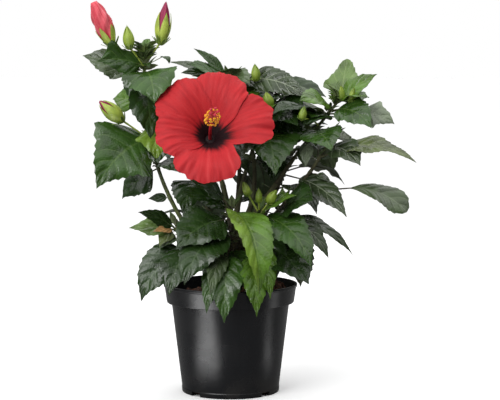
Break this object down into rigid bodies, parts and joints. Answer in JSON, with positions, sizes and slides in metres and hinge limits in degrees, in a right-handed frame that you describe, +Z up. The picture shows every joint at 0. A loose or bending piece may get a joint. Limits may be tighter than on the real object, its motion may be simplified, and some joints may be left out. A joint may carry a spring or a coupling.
{
  "type": "potted hibiscus shrub",
  "caption": "Flowering hibiscus shrub in a plain black nursery pot, with a wide red bloom, closed buds and glossy toothed leaves on thin woody stems",
  "frame": {"origin": "centre of the pot's flat underside, on the floor it stands on", "axes": "+Z up, -Y to the front, the side that the open bloom faces, +X to the right as seen from the front"},
  "size_m": [0.326, 0.2309, 0.3881],
  "materials": {
    "pot_plastic": "satin",
    "compost": "matte",
    "bark": "matte",
    "leaf": "satin",
    "petal": "matte",
    "pollen": "matte",
    "sepal": "matte"
  },
  "bodies": {
    "root": {"pot": "pot_plastic", "soil": "compost", "trunk": "bark", "bough_bloom": "bark", "bough_left": "bark", "bough_centre": "bark", "bough_top": "bark", "bough_right": "bark", "bough_rightOuter": "bark", "bough_lowRight": "bark", "bough_front": "bark", "bough_frontLeft": "bark", "bough_lowLeft": "bark", "bough_backLeft": "bark", "bough_back": "bark", "bough_backRight": "bark", "bough_lowBackLeft": "bark", "bough_lowBackRight": "bark", "bloom_petals": "petal", "bloom_column": "pollen", "bloom_calyx": "sepal", "leaves_left": "leaf", "leaves_centre": "leaf", "leaves_top": "leaf", "leaves_right": "leaf", "leaves_rightOuter": "leaf", "leaves_lowRight": "leaf", "leaves_front": "leaf", "leaves_frontLeft": "leaf", "leaves_lowLeft": "leaf", "leaves_backLeft": "leaf", "leaves_back": "leaf", "leaves_backRight": "leaf", "leaves_lowBackLeft": "leaf", "leaves_lowBackRight": "leaf"}
  },
  "joints": []
}
